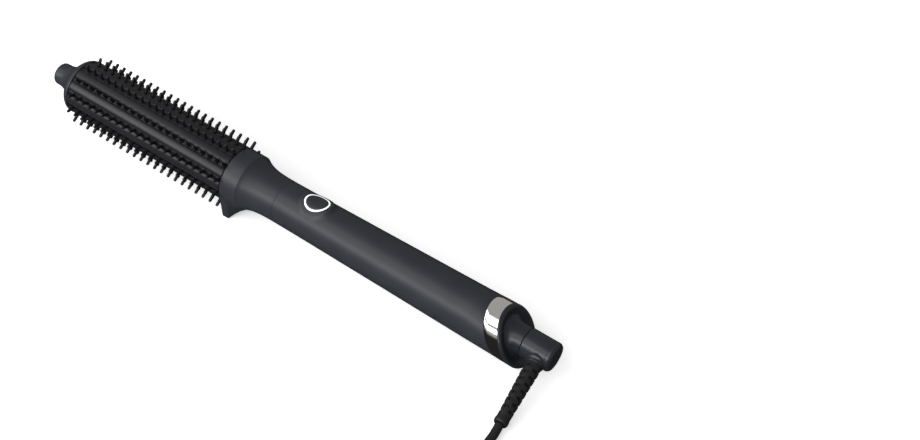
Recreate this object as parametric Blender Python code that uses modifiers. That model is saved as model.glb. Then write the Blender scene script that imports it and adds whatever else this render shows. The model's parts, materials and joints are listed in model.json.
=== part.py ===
"""Heated round styling brush with a cool tip, a lit power button and a swivelling mains cord.

The brush lies on the foot of its collar and on the end of its handle, with the button on top.
Its own axis frame starts at the tip: x runs from the tip to the cord end, z points to the button,
and an angle "psi" goes round the axis from the button towards -Y.
"""

from math import atan2, cos, pi, radians, sin

import bmesh
import bpy
from mathutils import Vector

MM = 0.001
GAP = 0.3 * MM

# Driving dimensions of the brush head, metres.
BARREL_START, BARREL_END = 19.4 * MM, 128.2 * MM
RIDGE_RADIUS, GROOVE_LIP_RADIUS = 16.0 * MM, 14.9 * MM
CHANNEL_RADIUS, BORE_RADIUS = 12.9 * MM, 11.5 * MM
CHANNEL_HALF_WIDTH = 1.3 * MM
ROWS, BRISTLES_PER_ROW = 12, 22
ROW_TURN = 7.7
FIRST_BRISTLE, BRISTLE_PITCH = 23.9 * MM, 4.92 * MM
BRISTLE_TIP_RADIUS = 19.6 * MM
# Driving dimensions of the collar and the handle.
COLLAR_FRONT, NECK_SEAM = 128.5 * MM, 160.5 * MM
FOOT_DEPTH, FOOT_REAR, FOOT_HALF_WIDTH = 21.0 * MM, 132.6 * MM, 12.6 * MM
NECK_RADIUS, HANDLE_END_RADIUS = 12.1 * MM, 14.6 * MM
HANDLE_WALL, SWELL_END = 2.0 * MM, 313.0 * MM
BAND_START, BAND_END, END_SLOPE = 298.8 * MM, 306.4 * MM, 0.59
RIM_X = 307.2 * MM
BUTTON_X, BUTTON_HEIGHT, BUTTON_LEAN, BUTTON_CROWN = 181.5 * MM, 13.77 * MM, 0.083, 18.5 * MM
BUTTON_AXIS_HEIGHT = 12.65 * MM
SCREW_PLACES = (196 * MM, 240 * MM)
SLIP_RING_PLACES = (290.3 * MM, 294.0 * MM)
# Driving dimensions of the cord swivel and the cord.
SWIVEL_SEAM, SWIVEL_END, SWIVEL_RADIUS = 313.0 * MM, 330.5 * MM, 7.95 * MM
RELIEF_X, RELIEF_END = 322.3 * MM, 45.7 * MM
RELIEF_DIRECTION = Vector((0.11, -0.967, -0.227)).normalized()
CORD_RADIUS = 2.3 * MM
HANK_CENTRE, HANK_DIRECTION = Vector((0.2272, -0.0547, 0)), radians(37.8)
HANK_STRAIGHT, HANK_BEND, HANK_COLUMNS, HANK_LAYERS = 50 * MM, 13.8 * MM, 3, 3
PLUG_SIZE = Vector((36.0, 35.0, 13.6)) * MM
PIN_LENGTH, PIN_RADIUS, PIN_SPACING = 19 * MM, 2.0 * MM, 18.6 * MM

# How the brush lies: its axis drops towards the cord, from the collar's foot to the handle's rim.
TAIL_REST = RIM_X + END_SLOPE * HANDLE_END_RADIUS
TILT = atan2(FOOT_DEPTH - HANDLE_END_RADIUS, TAIL_REST - FOOT_REAR)
TIP_HEIGHT = TAIL_REST * sin(TILT) + HANDLE_END_RADIUS * cos(TILT)
TIP_X = -SWIVEL_END * cos(TILT) / 2


def start_scene():
    for old in list(bpy.data.objects):
        bpy.data.objects.remove(old)
    collections = []
    for name in ("heated_round_brush", "cutters"):
        collection = bpy.data.collections.new(name)
        bpy.context.scene.collection.children.link(collection)
        collections.append(collection)
    collections[1].hide_render = True
    return collections


def make_axis(name, location=(0, 0, 0)):
    """An empty that carries one body. The brush's own axis frame is the parent of them all."""
    empty = bpy.data.objects.new(name, None)
    empty.empty_display_size = 10 * MM
    empty.location = location
    PARTS.objects.link(empty)
    return empty


def material(name, colour, roughness, metallic=0.0):
    made = bpy.data.materials.new(name)
    made.use_nodes = True
    shader = made.node_tree.nodes["Principled BSDF"]
    shader.inputs["Base Color"].default_value = (*colour, 1)
    shader.inputs["Roughness"].default_value = roughness
    shader.inputs["Metallic"].default_value = metallic
    return made


def place(name, data, finish, parent=None, collection=None):
    """A new object with its material, under the brush axis unless another parent is given."""
    made = bpy.data.objects.new(name, data)
    made.parent = parent or BRUSH
    if finish is not None:
        data.materials.append(finish)
    (collection or PARTS).objects.link(made)
    return made


def at(x, radius, psi):
    """The point at this place along the axis, this far from it, and psi degrees round from the button."""
    return Vector((x, -radius * sin(radians(psi)), radius * cos(radians(psi))))


def smooth(mesh):
    mesh.shade_smooth()
    mesh.set_sharp_from_angle(angle=radians(35))


def turned(name, outer, finish, inner=(), steps=24, parent=None, collection=None):
    """A solid turned about the brush axis. outer and inner are (x, radius) points, from the tip
    towards the cord; without an inner line the profile closes on the axis."""
    line = [(radius, x) for x, radius in reversed(outer)]
    line += [(radius, x) for x, radius in inner] or [(0, outer[0][0])]
    if not inner:
        line.insert(0, (0, outer[-1][0]))
    mesh = bpy.data.meshes.new(name)
    edges = [(i, i + 1) for i in range(len(line) - 1)]
    if inner:
        edges.append((len(line) - 1, 0))
    mesh.from_pydata([(radius, 0, z) for radius, z in line], edges, [])
    made = place(name, mesh, finish, parent, collection)
    made.rotation_euler = (0, pi / 2, 0)
    screw = made.modifiers.new("turn", "SCREW")
    screw.axis = "Z"
    screw.steps = screw.render_steps = steps
    screw.use_merge_vertices = True
    screw.merge_threshold = 1e-5
    screw.use_smooth_shade = True
    return made


def loft(name, rings, finish, parent=None):
    """A tube through rings of equally many points, closed from the last ring to the first."""
    shape = bmesh.new()
    loops = [[shape.verts.new(point) for point in ring] for ring in rings]
    for first, second in zip(loops, loops[1:] + loops[:1]):
        for i in range(len(first)):
            j = (i + 1) % len(first)
            shape.faces.new((first[i], first[j], second[j], second[i]))
    bmesh.ops.recalc_face_normals(shape, faces=shape.faces)
    mesh = bpy.data.meshes.new(name)
    shape.to_mesh(mesh)
    shape.free()
    smooth(mesh)
    return place(name, mesh, finish, parent)


def slanted_ring(x, radius, slope, count=36):
    """A circle round the axis on a plane that leans, so that its top lies nearer the tip."""
    points = [at(x, radius, 360 * i / count) for i in range(count)]
    return [point - Vector((slope * point.z, 0, 0)) for point in points]


def box(name, low, high, finish, parent=None, collection=None):
    low, high = Vector(low), Vector(high)
    shape = bmesh.new()
    bmesh.ops.create_cube(shape, size=1)
    bmesh.ops.scale(shape, vec=high - low, verts=shape.verts)
    mesh = bpy.data.meshes.new(name)
    shape.to_mesh(mesh)
    shape.free()
    made = place(name, mesh, finish, parent, collection)
    made.location = (low + high) / 2
    return made


def cylinder(name, start, end, radius, finish, end_radius=None, sides=20, parent=None, collection=None):
    """A cylinder or cone between two points."""
    start, end = Vector(start), Vector(end)
    shape = bmesh.new()
    bmesh.ops.create_cone(
        shape,
        cap_ends=True,
        segments=sides,
        radius1=radius,
        radius2=radius if end_radius is None else end_radius,
        depth=(end - start).length,
    )
    mesh = bpy.data.meshes.new(name)
    shape.to_mesh(mesh)
    shape.free()
    smooth(mesh)
    made = place(name, mesh, finish, parent, collection)
    made.location = (start + end) / 2
    made.rotation_mode = "QUATERNION"
    made.rotation_quaternion = (end - start).to_track_quat("Z", "Y")
    return made


def outline(name, loops, thickness, finish, location, rotation=(0, pi / 2, 0), parent=None):
    """A flat outline with its holes, as thick as given. Its plane faces along the brush axis,
    with the outline's first number pointing down and its second along Y, unless it is turned."""
    curve = bpy.data.curves.new(name, "CURVE")
    curve.dimensions = "2D"
    curve.fill_mode = "BOTH"
    curve.extrude = thickness / 2
    for points in loops:
        spline = curve.splines.new("POLY")
        spline.points.add(len(points) - 1)
        for point, (x, y) in zip(spline.points, points):
            point.co = (x, y, 0, 1)
        spline.use_cyclic_u = True
    made = place(name, curve, finish, parent)
    made.location = location
    made.rotation_euler = rotation
    return made


def tube(name, points, radius, finish, parent=None, resolution=2):
    curve = bpy.data.curves.new(name, "CURVE")
    curve.dimensions = "3D"
    curve.bevel_depth = radius
    curve.bevel_resolution = resolution
    curve.use_fill_caps = True
    spline = curve.splines.new("POLY")
    spline.points.add(len(points) - 1)
    for point, place_of in zip(spline.points, points):
        point.co = (*place_of, 1)
    return place(name, curve, finish, parent)


def smooth_route(points, step):
    """Points about a step apart on the smooth curve (Catmull-Rom) through the given ones."""
    points = [Vector(point) for point in points]
    ends = [2 * points[0] - points[1]] + points + [2 * points[-1] - points[-2]]
    route = [points[0]]
    for before, start, end, after in zip(ends, ends[1:], ends[2:], ends[3:]):
        count = max(1, round((end - start).length / step))
        for i in range(1, count + 1):
            t = i / count
            bend = (2 * before - 5 * start + 4 * end - after) * t**2
            twist = (3 * start - before - 3 * end + after) * t**3
            route.append((2 * start + (end - before) * t + bend + twist) / 2)
    return route


def boolean(made, other, operation="DIFFERENCE"):
    other.hide_render = True
    other.display_type = "WIRE"
    change = made.modifiers.new(f"{operation.lower()}_{other.name}", "BOOLEAN")
    change.operation = operation
    change.object = other


def as_mesh(made):
    """The same object as one welded mesh, so that a Boolean can change it."""
    bpy.context.view_layer.update()
    graph = bpy.context.evaluated_depsgraph_get()
    mesh = bpy.data.meshes.new_from_object(made.evaluated_get(graph))
    shape = bmesh.new()
    shape.from_mesh(mesh)
    bmesh.ops.remove_doubles(shape, verts=shape.verts, dist=1e-6)
    shape.to_mesh(mesh)
    shape.free()
    name, parent, where = made.name, made.parent, made.matrix_basis.copy()
    bpy.data.objects.remove(made)
    solid = place(name, mesh, None, parent)
    solid.matrix_basis = where
    return solid


def egg(length, width, count=28):
    """An oval outline round the power button, a little narrower towards the cord."""
    turns = [2 * pi * i / count for i in range(count)]
    return [(length / 2 * cos(t), width / 2 * sin(t) * (1 - 0.03 * cos(t))) for t in turns]


def crown(x, y):
    """The height of the power button's crowned and leaning top, from its middle."""
    return BUTTON_HEIGHT + BUTTON_LEAN * x - y * y / BUTTON_CROWN


def crowned(name, foot, low, head, above, finish, parent=None, collection=None):
    """A solid from a flat outline up to another that lies this far above the button's crown."""
    shape = bmesh.new()
    bottom = [shape.verts.new((BUTTON_X + x, y, low)) for x, y in foot]
    edge = [shape.verts.new((BUTTON_X + x, y, crown(x, y) + above)) for x, y in head]
    waist = [shape.verts.new((BUTTON_X + x / 2, y / 2, crown(x / 2, y / 2) + above)) for x, y in head]
    middle = shape.verts.new((BUTTON_X, 0, crown(0, 0) + above))
    shape.faces.new(list(reversed(bottom)))
    for i in range(len(foot)):
        j = (i + 1) % len(foot)
        shape.faces.new((bottom[i], bottom[j], edge[j], edge[i]))
        shape.faces.new((edge[i], edge[j], waist[j], waist[i]))
        shape.faces.new((waist[i], waist[j], middle))
    mesh = bpy.data.meshes.new(name)
    shape.to_mesh(mesh)
    shape.free()
    smooth(mesh)
    return place(name, mesh, finish, parent, collection)


def polar_outline(radius_at, count):
    """An outline for a piece that lies along the axis, from its radius at each psi."""
    angles = [360 * i / count for i in range(count)]
    return [(-radius_at(psi) * cos(radians(psi)), -radius_at(psi) * sin(radians(psi))) for psi in angles]


# ---------------------------------------------------------------- head


def make_cool_tip():
    cylinder_part = [(0, 5.5), (0.3, 6.1), (1.0, 6.4), (4.0, 6.5), (6.5, 6.9)]
    flare = [(9.0, 7.9), (11.0, 9.3), (13.0, 11.3), (15.0, 13.6), (17.0, 15.3), (18.2, 15.8), (19.1, 15.9)]
    spigot = [(19.1, 11.1), (26.0, 11.1)]
    hollow = [(26.0, 9.2), (17.0, 9.2), (11.0, 3.0)]
    line = [(x * MM, r * MM) for x, r in cylinder_part + flare + spigot + hollow]
    turned("cool_tip", line + [(11.0 * MM, 0)], PLASTIC)


def barrel_sector(psi):
    """Half of one groove and the ridges beside it, as (psi, radius) points round a bristle row."""
    channel = CHANNEL_HALF_WIDTH
    points = [(CHANNEL_RADIUS, channel), (GROOVE_LIP_RADIUS, channel)]
    flank = [(radius, atan2(width, radius) * 180 / pi) for radius, width in points]
    ridge = [
        (RIDGE_RADIUS - (RIDGE_RADIUS - GROOVE_LIP_RADIUS) * cos(radians(6 * turn)) ** 4, turn)
        for turn in (8.5, 12, 15)
    ]
    right = flank + ridge
    left = [(radius, -turn) for radius, turn in reversed(right[:-1])]
    return [(psi + turn, radius) for radius, turn in left + right]


def make_barrel():
    outer = [
        (-radius * cos(radians(psi)), -radius * sin(radians(psi)))
        for row in range(ROWS)
        for psi, radius in barrel_sector(ROW_TURN + 360 / ROWS * row)
    ]
    bore = polar_outline(lambda psi: BORE_RADIUS, 36)
    middle = ((BARREL_START + BARREL_END) / 2, 0, 0)
    outline("barrel", [outer, bore], BARREL_END - BARREL_START, ALUMINIUM, middle)


def strip_mesh():
    """One strip: a bar that slides into the barrel's channel, with a row of tapered bristles."""
    bar = box(
        "strip_bar",
        (BARREL_START + GAP, -1.0 * MM, CHANNEL_RADIUS + GAP),
        (BARREL_END - GAP, 1.0 * MM, GROOVE_LIP_RADIUS - 0.1 * MM),
        BRISTLE,
        collection=CUTTERS,
    )
    shape = bmesh.new()
    start, end = GROOVE_LIP_RADIUS - 0.8 * MM, BRISTLE_TIP_RADIUS
    for i in range(BRISTLES_PER_ROW):
        made = bmesh.ops.create_cone(
            shape, cap_ends=True, segments=4, radius1=0.95 * MM, radius2=0.7 * MM, depth=end - start
        )
        shift = (FIRST_BRISTLE + i * BRISTLE_PITCH, 0, (start + end) / 2)
        bmesh.ops.translate(shape, verts=made["verts"], vec=shift)
    mesh = bpy.data.meshes.new("strip_bristles")
    shape.to_mesh(mesh)
    shape.free()
    bristles = place("strip_bristles", mesh, BRISTLE, collection=CUTTERS)
    boolean(bar, bristles, "UNION")
    bpy.context.view_layer.update()
    graph = bpy.context.evaluated_depsgraph_get()
    joined = bpy.data.meshes.new_from_object(bar.evaluated_get(graph))
    to_axis = BRUSH.matrix_world.inverted() @ bar.matrix_world
    joined.transform(to_axis)
    for helper in (bar, bristles):
        bpy.data.objects.remove(helper)
    return joined


def make_bristle_strips():
    mesh = strip_mesh()
    for row in range(ROWS):
        strip = place(f"bristle_strip_{row + 1:02}", mesh, None)
        strip.rotation_euler = (radians(ROW_TURN + 360 / ROWS * row), 0, 0)


def make_heater():
    half_width, half_height = 6.5 * MM, 2.5 * MM
    wall = 1.3 * MM
    corners = [(-1, -1), (1, -1), (1, 1), (-1, 1)]
    frame = [(x * half_height, y * half_width) for x, y in corners]
    inside = [(x * (half_height - wall), y * (half_width - wall)) for x, y in corners]
    outline("heater_carrier", [frame, inside], 96 * MM, PLASTIC, (70 * MM, 0, 0))
    half_arc = 62
    chord = 5.0 * MM
    radius = BORE_RADIUS - GAP
    for name, side in (("upper", 1), ("lower", -1)):
        box(
            f"heater_plate_{name}",
            (40 * MM, -6.2 * MM, side * (half_height + GAP) + min(side, 0) * 1.7 * MM),
            (100 * MM, 6.2 * MM, side * (half_height + GAP) + max(side, 0) * 1.7 * MM),
            CERAMIC,
        )
        arc = [at(0, radius, psi) for psi in range(-half_arc, half_arc + 1, 2 * half_arc // 12)]
        segment = [(-side * point.z, point.y) for point in arc]
        segment = [(-side * chord, arc[0].y)] + segment + [(-side * chord, arc[-1].y)]
        outline(f"heat_spreader_{name}", [segment], 62 * MM, ALUMINIUM, (70 * MM, 0, 0))
    cylinder("temperature_sensor", (68 * MM, 9.3 * MM, 0), (72 * MM, 9.3 * MM, 0), 1.1 * MM, CERAMIC, sides=12)
    cylinder("thermal_fuse", (60 * MM, -9.1 * MM, 0), (70 * MM, -9.1 * MM, 0), 1.5 * MM, STEEL, sides=12)
    route = [(101, 3.6), (119, 3.6), (131, 1.5), (146, 1), (157, 4), (163, 7.2), (167.1, 7.2)]
    for i, y in enumerate((2.5, -2.5)):
        points = smooth_route([Vector((x, y, z)) * MM for x, z in route], 5 * MM)
        tube(f"heater_wire_{i + 1}", points, 0.6 * MM, COPPER_LEAD)


def make_barrel_mount():
    outer = [(121, 11.1), (131, 11.1), (131, 13.2), (133.8, 13.2), (133.8, 9.9), (146, 9.9)]
    inner = [(121, 8.6), (146, 8.6)]
    outer, inner = [[(x * MM, r * MM) for x, r in line] for line in (outer, inner)]
    turned("barrel_mount", outer, PLASTIC, inner)


# ---------------------------------------------------------------- collar and handle


def foot_outline_radius(turn, radius, depth, half_width):
    """The distance from the axis to the outline that wraps a circle and a flat foot below it.
    turn is the angle from straight down, in degrees."""
    supports = []
    for i in range(-89, 90):
        lean = radians(i)
        direction = radians(turn) + lean
        reach = max(radius, depth * cos(direction) + half_width * abs(sin(direction)))
        supports.append(reach / cos(lean))
    return min(supports)


def make_collar():
    """x, radius, depth of the foot and half its width, all in millimetres from the tip."""
    deep, wide = FOOT_DEPTH / MM + 0.5, FOOT_HALF_WIDTH / MM
    stations = [
        (COLLAR_FRONT / MM, 15.7, deep - 1.2, wide - 0.6),
        (129.1, 16.0, deep, wide),
        (FOOT_REAR / MM, 16.0, deep, wide),
        (134.0, 16.0, 19.2, 10.8),
        (136.0, 16.0, 17.4, 8.2),
        (138.6, 16.0, 16.2, 5),
        (140.4, 15.0, 15.1, 4),
        (142.4, 14.1, 14.1, 3),
        (145.2, 13.2, 13.2, 2),
        (149.5, 12.5, 12.5, 0),
        (NECK_SEAM / MM - 0.15, NECK_RADIUS / MM, NECK_RADIUS / MM, 0),
    ]
    count = 48
    rings = []
    for x, radius, depth, half_width in stations:
        turns = [360 * i / count for i in range(count)]
        reaches = [foot_outline_radius(turn - 180, radius, depth, half_width) for turn in turns]
        rings.append([at(x, reach, turn) * MM for turn, reach in zip(turns, reaches)])
    for x, radius in ((160.35, 10.2), (136.2, 10.2), (134.2, 13.5), (COLLAR_FRONT / MM, 13.5)):
        rings.append([at(x, radius, 360 * i / count) * MM for i in range(count)])
    collar = loft("collar", rings, PLASTIC)
    below = box("foot_level", (-0.1, -0.1, -0.02), (0.1, 0.1, 0), None, collection=CUTTERS)
    below.parent = None
    boolean(collar, below)


def handle_radius(x):
    """The handle swells slowly from its neck to its end."""
    t = (x - NECK_SEAM) / (SWELL_END - NECK_SEAM)
    return NECK_RADIUS + (HANDLE_END_RADIUS - NECK_RADIUS) * t**1.15


def make_handle_shell():
    start, rear = NECK_SEAM + GAP / 2, BAND_START - GAP
    places = [start + (rear - 14 * MM - start) * i / 6 for i in range(7)]
    rings = [slanted_ring(x, handle_radius(x), 0) for x in places]
    rings.append(slanted_ring(rear, handle_radius(rear), END_SLOPE))
    rings.append(slanted_ring(rear, handle_radius(rear) - HANDLE_WALL, END_SLOPE))
    rings += [slanted_ring(x, handle_radius(x) - HANDLE_WALL, 0) for x in reversed(places)]
    shell = loft("handle_shell", rings, PLASTIC)
    pad_foot, pad_top = egg(23 * MM, 16 * MM), egg(16.6 * MM, 14.4 * MM)
    pad = crowned("button_pad", pad_foot, 9.4 * MM, pad_top, -0.25 * MM, None, collection=CUTTERS)
    boolean(shell, pad, "UNION")
    outer = egg(14.9 * MM, 12.7 * MM)
    hole = crowned("button_hole", outer, 6 * MM, outer, 6 * MM, None, collection=CUTTERS)
    boolean(shell, hole)


def make_metal_band():
    start, end, radius = BAND_START, BAND_END, HANDLE_END_RADIUS - 0.05 * MM
    corners = [(start, radius), (end, radius), (end, 13.0 * MM), (start, 13.0 * MM)]
    loft("metal_band", [slanted_ring(x, r, END_SLOPE) for x, r in corners], CHROME)


def make_end_cap():
    """x and radius in millimetres from the tip, and how far the ring leans."""
    edge = HANDLE_END_RADIUS / MM
    step = BAND_END / MM + 0.3
    outside = [(291, 11.9, 0)]
    outside += [(x, radius, END_SLOPE) for x, radius in ((step, 11.9), (step, edge), (RIM_X / MM, edge))]
    rim = [(307.9, 14.2, END_SLOPE), (308.1, 13.5, END_SLOPE)]
    recess = [(307.7, 11.8, 0.62), (307.3, 9.8, 0.64), (307.0, 8.25, 0.64)]
    inside = [(301.5, 8.25, 0), (301.5, 10.2, 0), (291, 10.2, 0)]
    rings = [slanted_ring(x * MM, r * MM, slope) for x, r, slope in outside + rim + recess + inside]
    loft("end_cap", rings, SATIN)


def make_swivel_neck():
    outer = [(298.5, 9.8), (301.2, 9.8), (301.2, 7.9), (SWIVEL_SEAM / MM, 7.9)]
    inner = [(298.5, 4.4), (SWIVEL_SEAM / MM, 4.4)]
    outer, inner = [[(x * MM, r * MM) for x, r in line] for line in (outer, inner)]
    turned("swivel_neck", outer, SATIN, inner)


# ---------------------------------------------------------------- inside the handle


def make_chassis():
    lip = [(-3.6, -8.7), (2.0, -8.7), (7.0, -6.5), (7.0, 6.5), (2.0, 8.7), (-3.6, 8.7)]
    inside = [(-3.6, 7.1), (1.6, 7.1), (5.4, 5.6), (5.4, -5.6), (1.6, -7.1), (-3.6, -7.1)]
    points = [(x * MM, y * MM) for x, y in lip + inside]
    chassis = as_mesh(outline("chassis", [points], 130 * MM, PLASTIC, (215 * MM, 0, 0)))
    for i, x in enumerate(SCREW_PLACES):
        low, top = (x, 0, -6 * MM), (x, 0, 3.5 * MM)
        post = cylinder(f"post_{i}", low, top, 2.5 * MM, None, sides=14, collection=CUTTERS)
        low, top = (x, 0, -3 * MM), (x, 0, 6 * MM)
        hole = cylinder(f"post_hole_{i}", low, top, 1.05 * MM, None, sides=10, collection=CUTTERS)
        boolean(chassis, post, "UNION")
        boolean(chassis, hole)


def make_board():
    board = box("circuit_board", (166 * MM, -7.5 * MM, 3.9 * MM), (262 * MM, 7.5 * MM, 5.5 * MM), BOARD)
    for i, x in enumerate(SCREW_PLACES):
        low, top = (x, 0, 3 * MM), (x, 0, 7 * MM)
        hole = cylinder(f"board_hole_{i}", low, top, 1.1 * MM, None, sides=12, collection=CUTTERS)
        boolean(board, hole)
        shank = cylinder(f"board_screw_{i + 1}", (x, 0, -2 * MM), (x, 0, 6.6 * MM), 0.75 * MM, STEEL, sides=10)
        low, top = (x, 0, 5.8 * MM), (x, 0, 7.2 * MM)
        head = cylinder(f"screw_head_{i}", low, top, 2.0 * MM, None, sides=14, collection=CUTTERS)
        boolean(shank, head, "UNION")
    top = 5.8 * MM
    box("heater_terminal", (167.4 * MM, -4.2 * MM, top), (172.6 * MM, 4.2 * MM, 8.6 * MM), TERMINAL)
    box("power_terminal", (252 * MM, -4.4 * MM, top), (258 * MM, 4.4 * MM, 9.2 * MM), TERMINAL)
    box("tact_switch", (BUTTON_X - 3 * MM, -3 * MM, top), (BUTTON_X + 3 * MM, 3 * MM, 9.0 * MM), TERMINAL)
    box("ring_led", (BUTTON_X + 5.0 * MM, -0.9 * MM, top), (BUTTON_X + 6.4 * MM, 0.9 * MM, 6.8 * MM), LIGHT)
    cylinder("capacitor", (208 * MM, 0, 8.1 * MM), (221 * MM, 0, 8.1 * MM), 2.2 * MM, CAPACITOR, sides=16)


def make_power_contacts():
    box("contact_block", (288.6 * MM, -4 * MM, -9.2 * MM), (296 * MM, 4 * MM, -7.5 * MM), TERMINAL)
    strip = [(7.2, -3.2), (7.2, -2.8), (6.5, -2.8), (6.3, 2.4), (5.9, 2.4), (6.1, -3.2)]
    strip = [(x * MM, y * MM) for x, y in strip]
    for i, middle in enumerate(SLIP_RING_PLACES):
        outline(f"contact_spring_{i + 1}", [strip], 1.2 * MM, BRASS, (middle, 0, 0))
        ring = [(middle - 0.8 * MM, 5.6 * MM), (middle + 0.8 * MM, 5.6 * MM)]
        bore = [(middle - 0.8 * MM, 4.3 * MM), (middle + 0.8 * MM, 4.3 * MM)]
        turned(f"slip_ring_{i + 1}", ring, BRASS, bore, steps=20, parent=SWIVEL)
        y = 2.4 - 4.8 * i
        route = [(288.3, -8.3), (284, -6.4), (280, -3), (273, 3), (266, 7.2), (258.4, 7.4)]
        points = smooth_route([Vector((x, y, z)) * MM for x, z in route], 5 * MM)
        tube(f"power_wire_{i + 1}", points, 0.6 * MM, COPPER_LEAD)


# ---------------------------------------------------------------- button


def make_button():
    outer, inner = egg(14.3 * MM, 12.1 * MM), egg(12.2 * MM, 10.0 * MM)
    rings = []
    for points, level in ((outer, False), (outer, True), (inner, True), (inner, False)):
        rings.append([Vector((BUTTON_X + x, y, crown(x, y) if level else 10.6 * MM)) for x, y in points])
    loft("button_ring", rings, LIGHT)
    outer = egg(11.6 * MM, 9.4 * MM)
    cap = crowned("button_cap", outer, 11.4 * MM, outer, -0.05 * MM, SATIN, parent=BUTTON)
    cap.location = (-BUTTON_X, 0, -BUTTON_AXIS_HEIGHT)
    low, top = (0, 0, -2.75 * MM), (0, 0, 0)
    stem = cylinder("button_stem", low, top, 1.4 * MM, None, sides=12, parent=BUTTON, collection=CUTTERS)
    boolean(cap, stem, "UNION")
    turns, per_turn, radius = 3, 9, 2.5 * MM
    low, high = 9.5 * MM, 11.05 * MM
    points = []
    for i in range(turns * per_turn + 1):
        t = i / (turns * per_turn)
        turn = 2 * pi * turns * t
        points.append((BUTTON_X + radius * cos(turn), radius * sin(turn), low + (high - low) * t))
    tube("button_spring", points, 0.2 * MM, STEEL)


# ---------------------------------------------------------------- swivel and strain relief


def relief_point(distance):
    return Vector((RELIEF_X, 0, 0)) + RELIEF_DIRECTION * distance


def make_swivel():
    helper = {"finish": None, "parent": SWIVEL, "collection": CUTTERS}
    outer = [(287.5, 4.0), (297.0, 4.0), (297.0, 3.2), (298.2, 3.2), (298.2, 4.0), (313.3, 4.0)]
    outer += [(313.3, 7.6), (313.6, SWIVEL_RADIUS / MM), (327.0, SWIVEL_RADIUS / MM)]
    outer = [(x * MM, r * MM) for x, r in outer]
    inner = [(287.5 * MM, 2.0 * MM), (315.5 * MM, 2.0 * MM), (315.5 * MM, 6.1 * MM), (327.0 * MM, 6.1 * MM)]
    housing = turned("swivel_housing", outer, SATIN, inner, parent=SWIVEL)
    boss = cylinder("relief_boss", relief_point(7.0 * MM), relief_point(9.3 * MM), 4.9 * MM, **helper)
    hole = cylinder("relief_hole", relief_point(2.5 * MM), relief_point(12 * MM), 4.15 * MM, **helper)
    beyond = box("cap_seat", (327.0 * MM, -12 * MM, -12 * MM), (340 * MM, 12 * MM, 12 * MM), **helper)
    boolean(housing, boss, "UNION")
    boolean(housing, hole)
    boolean(housing, beyond)
    rear, front = 297.9 * MM, 297.3 * MM
    outer, inner = [(front, 6.2 * MM), (rear, 6.2 * MM)], [(front, 3.5 * MM), (rear, 3.5 * MM)]
    clip = turned("swivel_clip", outer, STEEL, inner, parent=SWIVEL)
    notch = box("clip_notch", (296 * MM, -1.6 * MM, -8 * MM), (299 * MM, 1.6 * MM, -1 * MM), **helper)
    boolean(clip, notch)
    cap = [(324.6, 2.2), (327.3, 2.2), (327.3, 7.95), (329.0, 7.95), (330.1, 7.3), (330.5, 6.4)]
    turned("swivel_cap", [(x * MM, r * MM) for x, r in cap], SATIN, parent=SWIVEL)


def make_strain_relief():
    """A tapered rubber sleeve with a bead at its end, turned about its own line."""
    ribs = 5
    root, end = 10.4 * MM, 41.0 * MM
    line = [(3.4 * MM, 3.8 * MM), (9.6 * MM, 3.8 * MM), (9.6 * MM, 4.4 * MM)]
    for i in range(ribs):
        start = root + (end - root) * i / ribs
        stop = start + (end - root) / ribs * 0.5
        radius = (4.4 - 0.9 * i / ribs) * MM
        line += [(start, radius), (start, radius - 0.5 * MM), (stop, radius - 0.5 * MM), (stop, radius)]
    line += [(43.6 * MM, 3.45 * MM), (44.2 * MM, 3.7 * MM), (45.2 * MM, 3.7 * MM), (RELIEF_END, 3.3 * MM)]
    relief = turned("strain_relief", line, RUBBER, steps=12, parent=SWIVEL)
    relief.rotation_mode = "QUATERNION"
    relief.rotation_quaternion = RELIEF_DIRECTION.to_track_quat("Z", "Y")
    relief.location = (RELIEF_X, 0, 0)


# ---------------------------------------------------------------- cord, in world coordinates


def hank_point(along, across, height):
    """A point by its place along the hank and across it, away from the brush."""
    ahead = Vector((cos(HANK_DIRECTION), sin(HANK_DIRECTION), 0))
    aside = Vector((sin(HANK_DIRECTION), -cos(HANK_DIRECTION), 0))
    return HANK_CENTRE + ahead * along + aside * across + Vector((0, 0, height))


def stadium(straight, radius, count=10):
    """A racetrack outline round the hank's middle: two straights joined by half circles."""
    points = []
    for side in (1, -1):
        for i in range(count + 1):
            turn = -pi / 2 + pi * i / count
            points.append((side * (straight / 2 + radius * cos(turn)), side * radius * sin(turn)))
    return points


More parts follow.
